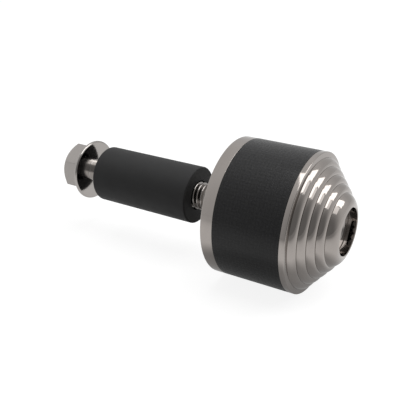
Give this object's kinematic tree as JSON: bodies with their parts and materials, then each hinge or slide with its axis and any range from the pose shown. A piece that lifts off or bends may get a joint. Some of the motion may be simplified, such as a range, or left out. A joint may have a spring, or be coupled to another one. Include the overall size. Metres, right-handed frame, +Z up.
{
  "type": "bar end weight",
  "caption": "Turned steel handlebar end weight with a woven band and a stepped nose, on a flange bolt with a rubber expander plug.",
  "frame": {"origin": "centre of the weight's back face, which seats on the end of the handlebar tube", "axes": "+X along the axis, out to the nose; -X into the bar; +Z up"},
  "size_m": [0.0897, 0.038, 0.038],
  "materials": {
    "weight_steel": "fine turned",
    "carbon_weave": "satin lacquer over a fine weave",
    "nut_steel": "polished",
    "bolt_steel": "polished",
    "plug_rubber": "matt"
  },
  "bodies": {
    "weight": {"nose_weight": "weight_steel", "carbon_sleeve": "carbon_weave", "rear_ring": "weight_steel"},
    "nut": {"socket_nut": "nut_steel"},
    "bolt": {"flange_bolt": "bolt_steel"},
    "plug": {"rubber_plug": "plug_rubber"}
  },
  "joints": [
    {"name": "nut_turn", "type": "hinge", "parent": "weight", "child": "nut", "pos_m": [0.02, 0, 0], "axis": [-1, 0, 0], "range_deg": [0, 4824]},
    {"name": "bolt_draw", "type": "slide", "parent": "weight", "child": "bolt", "axis": [1, 0, 0], "range_m": [0, 0.01675]},
    {"name": "plug_slide", "type": "slide", "parent": "weight", "child": "plug", "axis": [1, 0, 0], "range_m": [0, 0.0115]}
  ],
  "couplings": [
    {"joint": "nut_turn", "follows": "bolt_draw", "rad_per_m": 5026.5},
    {"joint": "plug_slide", "follows": "bolt_draw", "ratio": 0.68656}
  ]
}
